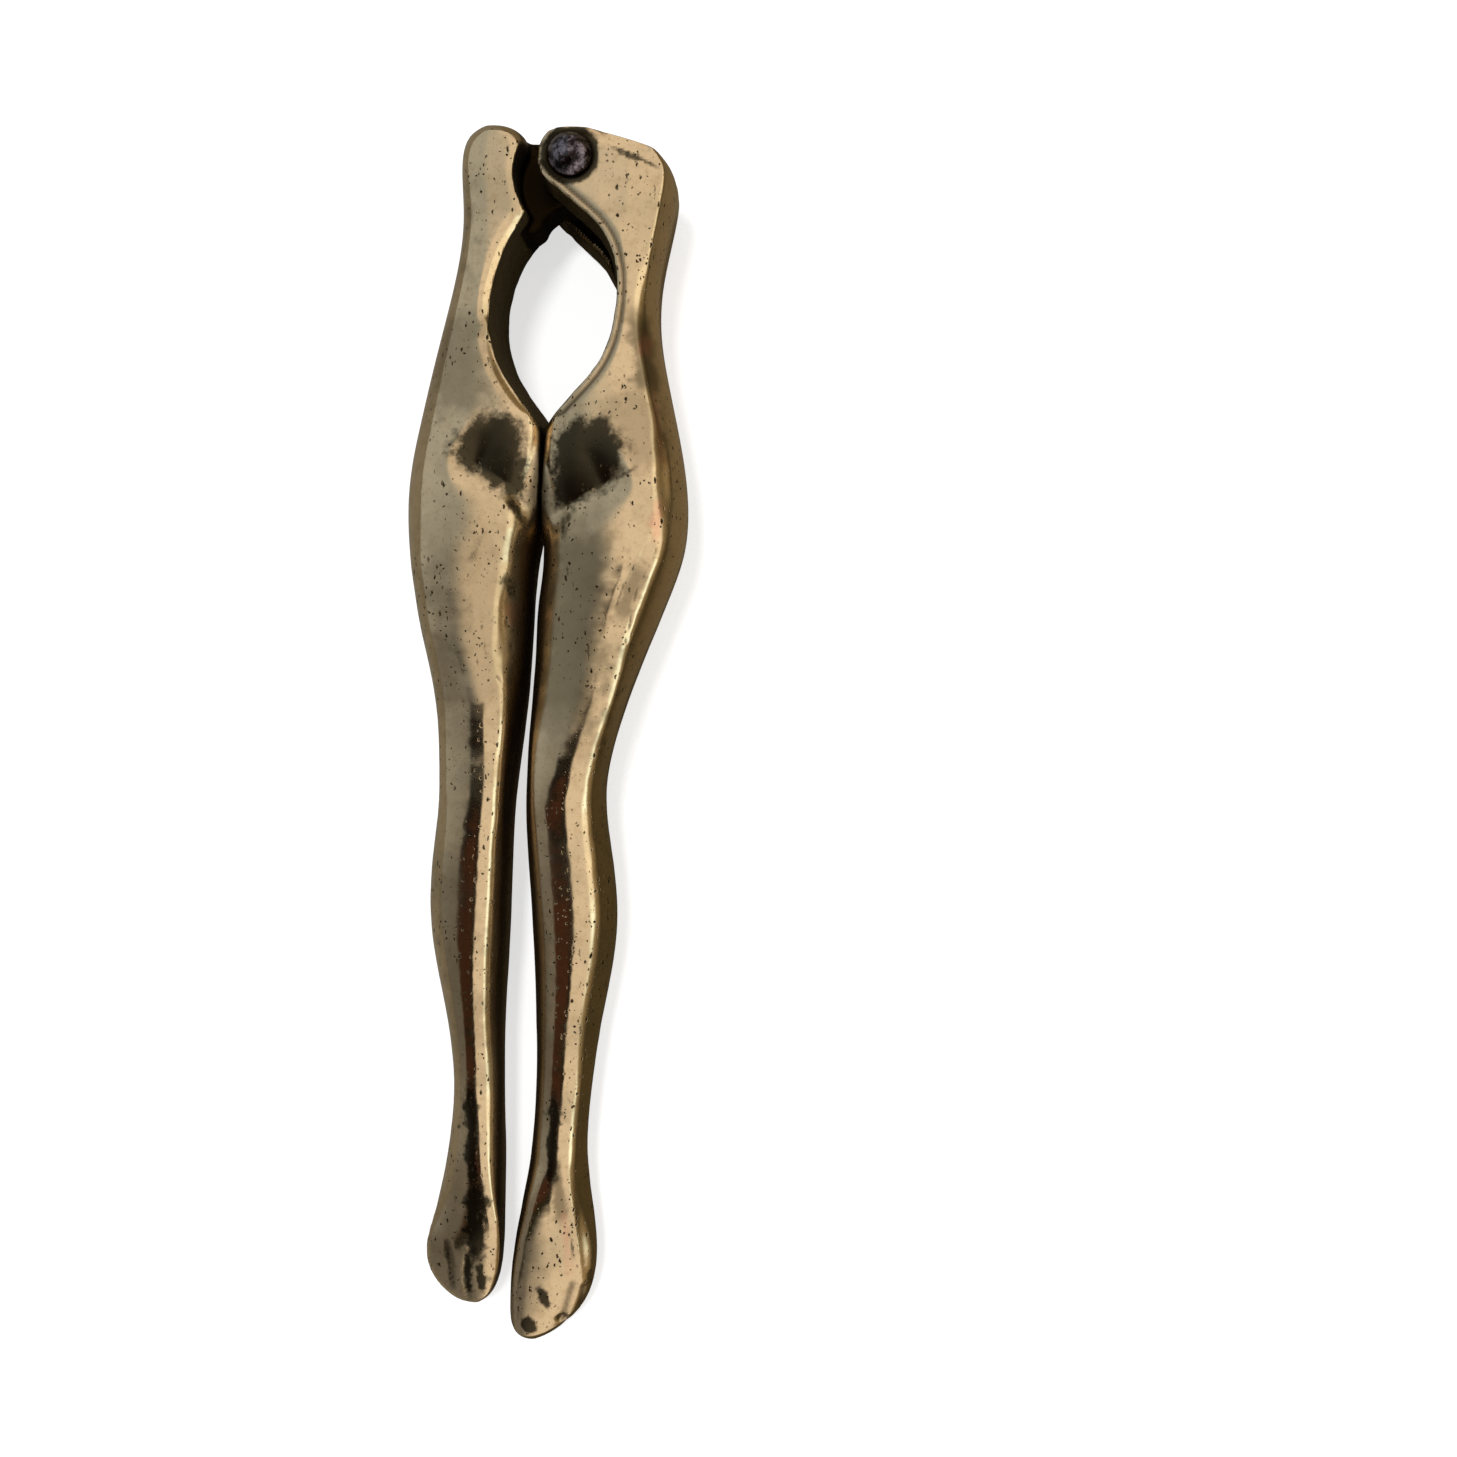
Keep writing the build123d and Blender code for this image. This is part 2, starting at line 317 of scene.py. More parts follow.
def even_mesh(cad_node):
    """Even quad mesh of a CAD node, with its points moved back onto the CAD surface."""
    source = frame["nodes"][cad_node]
    twin = link(bpy.data.objects.new(cad_node + "_twin", source.data.copy()))
    remesh = twin.modifiers.new("even", "REMESH")
    remesh.mode = "VOXEL"
    remesh.voxel_size = VOXEL * MM
    depsgraph = bpy.context.evaluated_depsgraph_get()
    mesh = bpy.data.meshes.new_from_object(twin.evaluated_get(depsgraph))
    bpy.data.objects.remove(twin)
    surface = BVHTree.FromPolygons(
        [v.co for v in source.data.vertices], [p.vertices[:] for p in source.data.polygons]
    )
    points = [surface.find_nearest(p)[0][:] for p in mesh_points(mesh)]
    set_points(mesh, np.array(points))
    return mesh


def soften(mesh, rounds, weights=1.0):
    """Rounds the edges, as casting and years of polishing do."""
    ends = np.zeros(len(mesh.edges) * 2, np.int64)
    mesh.edges.foreach_get("vertices", ends)
    a, b = ends.reshape(-1, 2).T
    count = np.bincount(np.concatenate([a, b]), minlength=len(mesh.vertices))
    points = mesh_points(mesh)
    for _ in range(rounds):
        total = np.zeros_like(points)
        for axis in range(3):
            total[:, axis] = np.bincount(
                np.concatenate([a, b]),
                weights=np.concatenate([points[b, axis], points[a, axis]]),
                minlength=len(points),
            )
        step = SOFTENING * (total / count[:, None] - points)
        points += step * np.reshape(weights, (-1, 1))
    set_points(mesh, points)


def piece_from(mesh, name, node, body):
    """A shown piece that stands for a CAD node and rides on its body."""
    mesh.name = name
    mesh.shade_smooth()
    piece = link(bpy.data.objects.new(name, mesh))
    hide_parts(node)
    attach(piece, body)
    return piece


# ---------------------------------------------------------------- working the castings


def along_line(points, start, end):
    """Share of the way from start to end, and the distance to the left of that line."""
    start = np.array(start)
    run = np.array(end) - start
    length = np.linalg.norm(run)
    run = run / length
    offset = points[:, :2] - start
    return offset @ run / length, offset @ np.array([-run[1], run[0]])


def groin(points, crease, depth, reach):
    """Hollow that falls from the belly to the crease above the thigh, which runs left to right."""
    share, above = along_line(points, *crease)
    window = smooth_step(-0.35, 0.15, share) * (1 - smooth_step(0.85, 1.35, share))
    fall = np.clip(1 - above / reach, 0, 1) ** 1.3
    return -depth * window * np.where(above > 0, fall, bump(above, CREASE_WIDTH))


def dent(points, start, end, width, depth):
    """Long shallow hollow from start to end, or a raised streak where depth is below zero."""
    share, beside = along_line(points, start, end)
    window = smooth_step(-0.2, 0.3, share) * (1 - smooth_step(0.7, 1.2, share))
    return -depth * window * bump(beside, width)


def groove(points, path, width, depth):
    """Narrow groove along a path of points."""
    nearest = np.full(len(points), np.inf)
    for start, end in zip(path, path[1:]):
        share, beside = along_line(points, start, end)
        length = math.dist(start, end)
        past = np.maximum(0, np.maximum(-share, share - 1)) * length
        nearest = np.minimum(nearest, np.hypot(beside, past))
    return -depth * bump(nearest, width)


def scratch_lines(points, paths):
    """Fine lines, worn away in places."""
    lines = sum(groove(points, path, SCRATCH_WIDTH, -1.0) for path in paths)
    return lines * smooth_step(-0.4, 0.3, noise_field(points, 1.8, 41))


def patch(points, corners, seed):
    """1 inside a convex patch given by its corners, anticlockwise, with ragged edges."""
    inside = np.full(len(points), np.inf)
    for start, end in zip(corners, corners[1:] + corners[:1]):
        inside = np.minimum(inside, along_line(points, start, end)[1])
    ragged = inside + PATCH_RAGGED * noise_field(points, 1.1, seed)
    return smooth_step(-PATCH_BLUR, PATCH_BLUR, ragged)


def rim_distance(cad_node, points):
    """Distance, seen from the front, to the edges between the flat front face and upright walls."""
    work = bmesh.new()
    work.from_mesh(frame["nodes"][cad_node].data)
    bmesh.ops.remove_doubles(work, verts=work.verts, dist=0.001 * MM)
    samples = []
    for edge in work.edges:
        a, b = (to_hinge(np.array(v.co)) for v in edge.verts)
        slopes = sorted(abs(face.normal.z) for face in edge.link_faces)
        if min(a[2], b[2]) < RIM_LOWEST or len(slopes) != 2 or slopes[0] > 0.5 or slopes[1] < 0.9:
            continue
        if abs(a[1] - b[1]) < SEAM_LEVEL:
            continue
        steps = max(1, int(np.linalg.norm(b - a) / RIM_STEP))
        samples += [a + (b - a) * step / steps for step in range(steps + 1)]
    work.free()
    tree = KDTree(len(samples))
    for index, sample in enumerate(samples):
        tree.insert((sample[0], sample[1], 0), index)
    tree.balance()
    return np.array([tree.find((p[0], p[1], 0))[2] for p in points])


def shave(points, rim, where, width, depth):
    """Cuts a flat bevel down from the front face towards its rim."""
    limit = HEAD_FRONT - depth * (1 - rim / width)
    beside = (rim < width) * (points[:, 2] > HEAD_FRONT / 2)
    points[:, 2] -= np.clip(points[:, 2] - limit, 0, None) * beside * where


def side_limits(points):
    """The leg's left and right limits at the height of every point."""
    slices = np.floor(points[:, 1]).astype(int)
    slices -= slices.min()
    low = np.full(slices.max() + 1, np.inf)
    high = np.full(slices.max() + 1, -np.inf)
    np.minimum.at(low, slices, points[:, 0])
    np.maximum.at(high, slices, points[:, 0])
    middles = points[:, 1].min() + 0.5 + np.arange(len(low))
    return np.interp(points[:, 1], middles, low), np.interp(points[:, 1], middles, high)


def lean(points, leans):
    """Shifts the crown of each section sideways, so that the shin runs where it should."""
    heights, shifts = zip(*reversed(leans))
    shift = np.interp(points[:, 1], heights, shifts)
    low, high = side_limits(points)
    across = (2 * points[:, 0] - low - high) / (high - low)
    upper = smooth_step(LEAN_LOW, LEAN_HIGH, points[:, 2])
    points[:, 0] += shift * upper * np.clip(1 - across**2, 0, 1)


def roll_inward(points, distance, fall, start, end):
    """Lets the thigh fall away towards the other leg. Distance is from its inner limit."""
    window = smooth_step(-40.0, -45.0, points[:, 1]) * smooth_step(-76.0, -68.0, points[:, 1])
    upper = smooth_step(LEAN_LOW, LEAN_HIGH, points[:, 2])
    points[:, 2] -= fall * window * upper * smooth_step(start, end, distance)


def streaks(points, marks, seed):
    """Marks along lines, with ragged edges: tarnish, painted pink and dark reflection, and painted
    shade.
    """
    total = np.zeros(len(points))
    noise = noise_field(points, 1.6, seed, 3)
    ragged = 1 + 0.7 * noise
    for start, end, width, strength in marks:
        share, beside = along_line(points, start, end)
        share = share + 0.5 * noise * width / math.dist(start, end)
        window = smooth_step(-0.2, 0.2, share) * smooth_step(1.2, 0.8, share)
        spread = smooth_step(1.7, 0.5, np.abs(beside) / width * ragged)
        total = np.maximum(total, strength * window * spread)
    return total


def wall_masks(points, normals):
    """Masks of the upright walls, and of those that face the jaws and stay as cast."""
    upright = 1 - smooth_step(0.35, 0.65, np.abs(normals[:, 2]))
    to_jaws = JAW_CENTRE - points[:, :2]
    reach = np.linalg.norm(to_jaws, axis=1)
    facing = (normals[:, :2] * to_jaws).sum(axis=1) / np.maximum(reach, 0.1)
    jaw = upright * smooth_step(0.2, 0.5, facing) * smooth_step(15.0, 13.0, reach)
    return upright, jaw


def common_relief(points, seed):
    """Slow unevenness of a casting polished by hand."""
    slow = noise_field(points, 7.0, seed, 2)
    fine = noise_field(points, 2.2, seed + 5, 2)
    return 0.05 * slow + 0.010 * fine


def keep_inside(cad_node, points):
    """Keeps worked points inside the box of the CAD node."""
    limits = to_hinge(mesh_points(frame["nodes"][cad_node].data))
    return np.clip(points, limits.min(axis=0), limits.max(axis=0))


def clear_bore(points):
    """Keeps the tongue's bore wide enough to turn on the rivet."""
    radius = np.hypot(points[:, 0], points[:, 1])
    inside = radius < BORE_RADIUS
    points[inside, :2] *= (BORE_RADIUS / radius[inside])[:, None]


class Skin:
    """A leg's points and normals, with masks of the places that both legs have."""

    def __init__(self, mesh, toes, scratches):
        self.points = to_hinge(mesh_points(mesh))
        self.normals = mesh_normals(mesh)
        self.x, self.y, self.z = self.points.T
        self.front = smooth_step(0.2, 0.7, self.normals[:, 2])
        self.upright, self.jaw = wall_masks(self.points, self.normals)
        self.toes = sum(groove(self.points, path, TOE_GROOVE_WIDTH, 1.0) for path in toes)
        self.scratched = self.front * scratch_lines(self.points, scratches)

    def streaked(self, marks, seed):
        return self.front * streaks(self.points, marks, seed)

    def patched(self, corners, seed):
        return self.front * patch(self.points, corners, seed)

    def between_legs(self, inward, low, high):
        """Masks of the thigh's inner side and the crotch. Inward is 1 or -1 along X."""
        sideways = inward * self.normals[:, 0]
        inner = smooth_step(-41.0, CROTCH, self.y) * smooth_step(low, high, sideways)
        crotch = self.upright * smooth_step(CROTCH, -40.0, self.y)
        return inner, crotch * smooth_step(0.3, 0.7, sideways)


def rounded_casting(cad_node, rounds, outer_limits):
    """Even mesh with rounded edges, rounder on the head's outer side, and its rim distances."""
    mesh = even_mesh(cad_node)
    soften(mesh, SOFTENING_ROUNDS)
    points = to_hinge(mesh_points(mesh))
    rim = rim_distance(cad_node, points)
    outer = smooth_step(*outer_limits, points[:, 0]) * smooth_step(-34.0, -28.0, points[:, 1])
    soften(mesh, rounds, outer * smooth_step(1.0, 2.0, rim))
    return mesh, rim


def relief(skin, crease, swells, dents, hidden, seed):
    """How far every point stands out. Hidden is a mask of the hinge's own faces, left as cut."""
    points, front = skin.points, skin.front
    move = front * groin(points, crease, GROIN_DEPTH, GROIN_REACH)
    move += front * sum(height * bump(skin.y - place, reach) for place, reach, height in swells)
    for start, end, width, depth in dents:
        move += front * dent(points, start, end, width, depth)
    move += front * TOE_GROOVE_DEPTH * skin.toes
    move -= SCRATCH_DEPTH * skin.scratched
    still = np.maximum(hidden, smooth_step(0.4, 0.6, skin.upright * (skin.y > CROTCH)))
    move += (1 - still) * common_relief(points, seed)
    move += skin.jaw * (1 - hidden) * JAW_ROUGHNESS * noise_field(points, 1.8, seed + 2, 3)
    return move


def finish_leg(mesh, cad_node, skin, move, masks):
    """Moves the points out, stores the masks and shows the leg in place of its CAD node."""
    moved = keep_inside(cad_node, skin.points + skin.normals * move[:, None])
    set_points(mesh, from_hinge(moved))
    for name, values in masks.items():
        set_mask(mesh, name, values)
    mesh.materials.clear()
    mesh.materials.append(brass())
    return piece_from(mesh, cad_node + "_casting", cad_node, cad_node)


def shape_left(mesh, rim):
    """Cuts the jaw's chamfer, and sets the sections and the thigh's inner side."""
    points = to_hinge(mesh_points(mesh))
    beside_jaws = smooth_step(-5.0, -7.0, points[:, 1]) * smooth_step(-33.0, -29.0, points[:, 1])
    shave(points, rim, beside_jaws, JAW_CHAMFER, JAW_CHAMFER_DEPTH)
    lean(points, LEFT_LEAN)
    roll_inward(points, side_limits(points)[1] - points[:, 0], *LEFT_ROLL)
    set_points(mesh, from_hinge(points))
    soften(mesh, WORKED_ROUNDS)


def left_masks(skin, tongue):
    inner, crotch = skin.between_legs(1, 0.60, 0.90)
    shoulder = smooth_step(-6.9, -6.0, skin.x) * smooth_step(-7.5, -6.0, skin.y)
    shoulder *= smooth_step(13.8, 12.8, skin.z)
    toes = -0.6 * skin.front * skin.toes
    dark_streaks = skin.streaked(LEFT_DARK_STREAKS, 13)
    # Painted dark reflection on the groin patch and the streaks, darker along the scratches; painted
    # shade, near black, on the tongue in its slot, the column's shoulder, the crotch and the toe
    # grooves, and painted dark reflection on the thigh's inner side.
    return {
        "painted_shade_and_scratches": strongest(skin.patched(LEFT_PATCH, 11), dark_streaks, 0.5 * skin.scratched),
        "painted_recess_shade": strongest(tongue, 0.85 * shoulder, 0.8 * crotch, 0.6 * inner, toes),
        "cast": skin.jaw,
        "haze": skin.streaked(LEFT_HAZE, 15),
        "pink_reflection": skin.streaked(LEFT_PINK_REFLECTION, 17),
    }


def left_leg():
    """Leg with the column, the tongue and the shorter foot."""
    mesh, rim = rounded_casting("left_leg", COLUMN_ROUNDS, (-9.6, -11.0))
    shape_left(mesh, rim)
    skin = Skin(mesh, LEFT_TOES, LEFT_SCRATCHES)
    clear_bore(skin.points)
    tongue = smooth_step(-6.8, -6.2, skin.x) * (skin.y > TONGUE_BOTTOM)
    tongue *= smooth_step(12.4, 11.8, skin.z)
    move = relief(skin, LEFT_CREASE, LEFT_SWELLS, LEFT_DENTS, tongue, 1)
    return finish_leg(mesh, "left_leg", skin, move, left_masks(skin, tongue))


def shape_right(mesh, rim):
    """Squares up the cheek's shoulder, bevels the head's top, and sets the sections."""
    points = to_hinge(mesh_points(mesh))
    shoulder = smooth_step(6.0, 10.5, points[:, 0]) * smooth_step(-18.0, -10.0, points[:, 1])
    shoulder *= smooth_step(0.2, 1.5, side_limits(points)[1] - points[:, 0])
    shoulder *= points[:, 2] > HEAD_FRONT / 2
    points[:, 2] += CHEEK_SHOULDER * shoulder * np.clip(HEAD_FRONT - points[:, 2], 0, None)
    head_top = smooth_step(2.0, 4.5, points[:, 0]) * smooth_step(-4.0, -2.0, points[:, 1])
    shave(points, rim, head_top, TOP_BEVEL, TOP_BEVEL_DEPTH)
    lean(points, RIGHT_LEAN)
    roll_inward(points, points[:, 0] - side_limits(points)[0], *RIGHT_ROLL)
    set_points(mesh, from_hinge(points))
    soften(mesh, WORKED_ROUNDS)


def right_masks(skin, slot, rim_groove):
    inner, crotch = skin.between_legs(-1, 0.50, 0.80)
    radius = np.hypot(skin.x, skin.y)
    ring = skin.front * smooth_step(3.7, 2.9, radius + 0.35 * noise_field(skin.points, 1.5, 21))
    under_rivet = skin.front * smooth_step(3.1, 2.6, radius)
    toes = -0.6 * skin.front * skin.toes
    dark_streaks = skin.streaked(RIGHT_DARK_STREAKS, 14)
    patched = skin.patched(RIGHT_PATCH, 12)
    # Painted dark reflection on the groin patch and the streaks, darker along the scratches, and a
    # dark ring around the rivet's head of painted shade and dirt; painted shade, near black, in the
    # slot, the crotch, under the rivet, in the rim's groove and the toe grooves, and painted dark
    # reflection on the thigh's inner side.
    return {
        "painted_shade_and_scratches": strongest(patched, 0.9 * ring, dark_streaks, 0.5 * skin.scratched),
        "painted_recess_shade": strongest(slot, 0.8 * crotch, under_rivet, 0.8 * rim_groove, 0.55 * inner, toes),
        "cast": skin.jaw,
        "haze": skin.streaked(RIGHT_HAZE, 16),
        "pink_reflection": skin.streaked(RIGHT_PINK_REFLECTION, 18),
    }


def right_leg():
    """Leg with the fork's two cheeks and the longer foot."""
    mesh, rim = rounded_casting("right_leg", CHEEK_ROUNDS, (6.5, 8.0))
    shape_right(mesh, rim)
    skin = Skin(mesh, RIGHT_TOES, RIGHT_SCRATCHES)
    slot = (np.abs(skin.z - HEAD_FRONT / 2) < SLOT_HALF) * (skin.x < SLOT_END)
    slot = slot * (skin.y > SLOT_BOTTOM) * 1.0
    cheek = 1 - smooth_step(-1.0, 1.0, skin.y) * smooth_step(2.0, 4.0, skin.x)
    cheek *= smooth_step(-34.0, -30.0, skin.y)
    rim_groove = skin.front * cheek * bump(rim - RIM_WIDTH, RIM_GROOVE_WIDTH)
    to_notch = np.hypot(skin.x - TOE_NOTCH[0], skin.y - TOE_NOTCH[1])
    move = relief(skin, RIGHT_CREASE, RIGHT_SWELLS, RIGHT_DENTS, slot, 2)
    move -= RIM_GROOVE_DEPTH * rim_groove
    move -= TOE_NOTCH_DEPTH * bump(to_notch, TOE_NOTCH_WIDTH)
    return finish_leg(mesh, "right_leg", skin, move, right_masks(skin, slot, rim_groove))


# ---------------------------------------------------------------- the rivet


def rivet_profile():
    """Radius and height of the rivet's outline, from the tail up to the dome."""
    dome_height = RIVET_TOP - HEAD_FRONT - RIVET_RIM
    dome_radius = (RIVET_HEAD**2 + dome_height**2) / (2 * dome_height)
    dome_angle = math.asin(RIVET_HEAD / dome_radius)
    profile = [
        (RIVET_TAIL, 0.0),
        (RIVET_SHANK, RIVET_TAIL_DEPTH),
        (RIVET_SHANK, HEAD_FRONT + HEAD_CLEARANCE),
        (RIVET_HEAD, HEAD_FRONT + HEAD_CLEARANCE),
    ]
    for step in range(DOME_RINGS):
        angle = dome_angle * (1 - step / DOME_RINGS)
        height = RIVET_TOP - dome_radius * (1 - math.cos(angle))
        profile.append((dome_radius * math.sin(angle), height))
    return profile


def turned(profile, top):
    """Points and faces of a profile turned about Z and closed at z 0 and at its top."""
    verts = []
    for radius, height in profile:
        for turn in range(RIVET_SIDES):
            angle = 2 * math.pi * turn / RIVET_SIDES
            verts.append((radius * math.cos(angle), radius * math.sin(angle), height))
    faces = []
    for ring in range(len(profile) - 1):
        for turn in range(RIVET_SIDES):
            a = ring * RIVET_SIDES + turn
            b = ring * RIVET_SIDES + (turn + 1) % RIVET_SIDES
            faces.append((a, b, b + RIVET_SIDES, a + RIVET_SIDES))
    bottom = len(verts)
    verts += [(0, 0, 0), (0, 0, top)]
    top_ring = (len(profile) - 1) * RIVET_SIDES
    for turn in range(RIVET_SIDES):
        after = (turn + 1) % RIVET_SIDES
        faces.append((bottom, after, turn))
        faces.append((bottom + 1, top_ring + turn, top_ring + after))
    return np.array(verts, float), faces


def rivet():
    """Turned rivet with a hand-peened dome, a shank and a spread tail."""
    points, faces = turned(rivet_profile(), RIVET_TOP)
    on_dome = smooth_step(HEAD_FRONT + 0.3, HEAD_FRONT + 0.8, points[:, 2])
    hammered = 0.05 * noise_field(points, 0.9, 31, 2) - 0.05
    points += points * [0.25, 0.25, 0] * (on_dome * hammered)[:, None]
    points[:, 2] += on_dome * hammered
    mesh = bpy.data.meshes.new("rivet_peened")
    mesh.from_pydata(from_hinge(points).tolist(), [], faces)
    mesh.materials.append(iron())
    return piece_from(mesh, "rivet_peened", "rivet", "right_leg")


# ---------------------------------------------------------------- materials


def node(tree, kind, sockets=None, **settings):
    """Adds a shader node. Sockets are values, colours or other nodes' outputs."""
    made = tree.nodes.new("ShaderNode" + kind)
    for name, value in settings.items():
        setattr(made, name, value)
    for socket, value in (sockets or {}).items():
        if isinstance(value, bpy.types.NodeSocket):
            tree.links.new(value, made.inputs[socket])
        else:
            made.inputs[socket].default_value = value
    return made


def math_node(tree, operation, first, second=0.0):
    return node(tree, "Math", {0: first, 1: second}, operation=operation).outputs[0]


def times(tree, first, second):
    return math_node(tree, "MULTIPLY", first, second)


def plus(tree, first, second):
    return math_node(tree, "ADD", first, second)


def vector_node(tree, operation, sockets):
    return node(tree, "VectorMath", sockets, operation=operation).outputs[0]


def ramp(tree, value, low, high):
    """Smooth 0 to 1 ramp from low to high; it falls where low is above high."""
    rising = low < high
    sockets = {
        "Value": value,
        "From Min": min(low, high),
        "From Max": max(low, high),
        "To Min": 0.0 if rising else 1.0,
        "To Max": 1.0 if rising else 0.0,
    }
    return node(tree, "MapRange", sockets, interpolation_type="SMOOTHSTEP").outputs[0]


def mix_colour(tree, factor, first, second):
    sockets = {0: factor}
    for place, value in ((6, first), (7, second)):
        sockets[place] = value if isinstance(value, bpy.types.NodeSocket) else (*value, 1)
    return node(tree, "Mix", sockets, data_type="RGBA").outputs[2]


def mask(tree, name):
    return node(tree, "Attribute", attribute_name=name).outputs["Fac"]


def millimetres(tree):
    """Place on the piece in millimetres, the same at every pose."""
    place = node(tree, "TexCoord").outputs["Object"]
    return vector_node(tree, "MULTIPLY", {0: place, 1: (1000, 1000, 1000)})


def grain(tree, place, size, detail=3.0, rough=0.55):
    sockets = {"Vector": place, "Scale": 1 / size, "Detail": detail, "Roughness": rough}
    return node(tree, "TexNoise", sockets).outputs["Fac"]


def specks(tree, place, spacing, radius, share, stretch=(1, 1, 1), turn=0.0):
    """Scattered small marks, one in each of a share of the cells, with uneven outlines."""
    wobble = node(tree, "TexNoise", {"Vector": place, "Scale": 2.2, "Detail": 2.0}).outputs["Color"]
    wobble = vector_node(tree, "SUBTRACT", {0: wobble, 1: (0.5, 0.5, 0.5)})
    wobble = vector_node(tree, "SCALE", {0: wobble, "Scale": 0.7 * spacing})
    moved = vector_node(tree, "ADD", {0: place, 1: wobble})
    mapping = {"Vector": moved, "Rotation": (0, 0, turn), "Scale": stretch}
    moved = node(tree, "Mapping", mapping).outputs[0]
    cells = node(tree, "TexVoronoi", {"Vector": moved, "Scale": 1 / spacing})
    chance = node(tree, "SeparateColor", {0: cells.outputs["Color"]})
    chosen = math_node(tree, "LESS_THAN", chance.outputs[0], share)
    size = times(tree, chance.outputs[1], radius / spacing)
    size = plus(tree, size, 0.25 * radius / spacing)
    depth = math_node(tree, "SUBTRACT", size, cells.outputs["Distance"])
    depth = math_node(tree, "DIVIDE", depth, size)
    return times(tree, ramp(tree, depth, 0.0, 0.5), chosen)


def metal(name):
    """New material of bare metal, with its tree and its shader."""
    material = bpy.data.materials.new(name)
    material.use_nodes = True
    shader = material.node_tree.nodes["Principled BSDF"]
    shader.inputs["Metallic"].default_value = 1.0
    return material, material.node_tree, shader


def surface(tree, shader, colour, rough, height, distance):
    """Gives a shader its colour, roughness and relief. Height 1 is the distance in millimetres."""
    tree.links.new(colour, shader.inputs["Base Color"])
    tree.links.new(rough, shader.inputs["Roughness"])
    bumps = node(tree, "Bump", {"Height": height, "Distance": distance * MM, "Strength": 1.0})
    tree.links.new(bumps.outputs[0], shader.inputs["Normal"])


def brass_marks(tree, place, scratches):
    """Pits, nicks and scratches, gathered in clusters."""
    pits = specks(tree, place, 0.7, 0.17, 0.80)
    nicks = specks(tree, place, 0.65, 0.16, 0.80, stretch=(1.0, 0.45, 1.0), turn=0.9)
    marks = math_node(tree, "MAXIMUM", pits, nicks)
    marks = math_node(tree, "MAXIMUM", marks, times(tree, scratches, 0.55))
    return times(tree, marks, ramp(tree, grain(tree, place, 9.0, 4.0), 0.37, 0.54))


def worn_brass(tree, tarnish, mottle, fine):
    """Colour of clean metal with tarnish, warm blotches and dull grain."""
    colour = mix_colour(tree, tarnish, (0.86, 0.67, 0.42), (0.47, 0.40, 0.25))
    warm = times(tree, ramp(tree, mottle, 0.48, 0.72), 0.32)
    colour = mix_colour(tree, warm, colour, (0.50, 0.34, 0.16))
    dull = times(tree, ramp(tree, fine, 0.50, 0.75), 0.28)
    return mix_colour(tree, dull, colour, (0.36, 0.28, 0.15))


def painted_dark_share(tree, painted_shade_and_scratches, fine, scratches):
    """Strength of the painted dark reflection and shade, with the dark scratches: brushed at their
    edges, and bared by scratches.
    """
    brushed = times(tree, math_node(tree, "SUBTRACT", fine, 0.5), 0.6)
    dark_share = ramp(tree, plus(tree, painted_shade_and_scratches, brushed), 0.04, 0.72)
    return times(tree, dark_share, plus(tree, times(tree, scratches, -0.5), 0.97))


def brass_height(tree, place, marks, mottle, cast):
    """Sunken marks, a slight mottle, and a rugged skin where the walls are left as cast."""
    height = plus(tree, times(tree, marks, -0.2), times(tree, mottle, 0.06))
    rugged = times(tree, grain(tree, place, 0.7, 4.0), times(tree, cast, 1.2))
    return plus(tree, height, rugged)


def brass():
    """Old polished brass: cream where it is bright, brown where tarnished or left as cast, and brown
    to black where shade and dark reflections are painted.
    """
    found = bpy.data.materials.get("aged_brass")
    if found:
        return found
    material, tree, shader = metal("aged_brass")
    place = millimetres(tree)
    painted_shade_and_scratches, painted_recess_shade, cast = (mask(tree, name) for name in ("painted_shade_and_scratches", "painted_recess_shade", "cast"))
    haze, pink_reflection = mask(tree, "haze"), mask(tree, "pink_reflection")
    cloud = grain(tree, place, 9.0, 4.0)
    mottle = grain(tree, place, 1.6, 5.0, 0.65)
    fine = grain(tree, place, 0.45, 3.0, 0.6)
    tarnish = times(tree, ramp(tree, cloud, 0.45, 0.72), 0.45)
    scratches = specks(tree, place, 1.0, 0.15, 0.70, stretch=(1.0, 0.15, 1.0), turn=-0.9)
    marks = brass_marks(tree, place, scratches)

    colour = worn_brass(tree, tarnish, mottle, fine)
    colour = mix_colour(tree, haze, colour, (0.30, 0.235, 0.14))
    # Painted pink reflection.
    colour = mix_colour(tree, times(tree, pink_reflection, mottle), colour, (0.80, 0.36, 0.25))
    colour = mix_colour(tree, marks, colour, (0.045, 0.030, 0.014))
    dark_share = painted_dark_share(tree, painted_shade_and_scratches, fine, scratches)
    # Painted dark reflection and shade, on the groin patches, the streaks and the ring around the
    # rivet, with the dark scratches.
    colour = mix_colour(tree, dark_share, colour, (0.055, 0.045, 0.026))
    crust = mix_colour(tree, mottle, (0.35, 0.25, 0.10), (0.95, 0.75, 0.38))
    colour = mix_colour(tree, cast, colour, crust)
    # Painted shade, near black, in the recesses and between the legs.
    colour = mix_colour(tree, painted_recess_shade, colour, (0.016, 0.010, 0.004))

    dullers = (tarnish, 0.12), (haze, 0.08), (painted_shade_and_scratches, 0.16), (cast, 0.25), (painted_recess_shade, 0.35), (marks, 0.3)
    rough = plus(tree, times(tree, mottle, 0.08), 0.07)
    for part, amount in dullers:
        rough = plus(tree, rough, times(tree, part, amount))
    height = brass_height(tree, place, marks, mottle, cast)
    surface(tree, shader, colour, rough, height, 0.1)
    return material


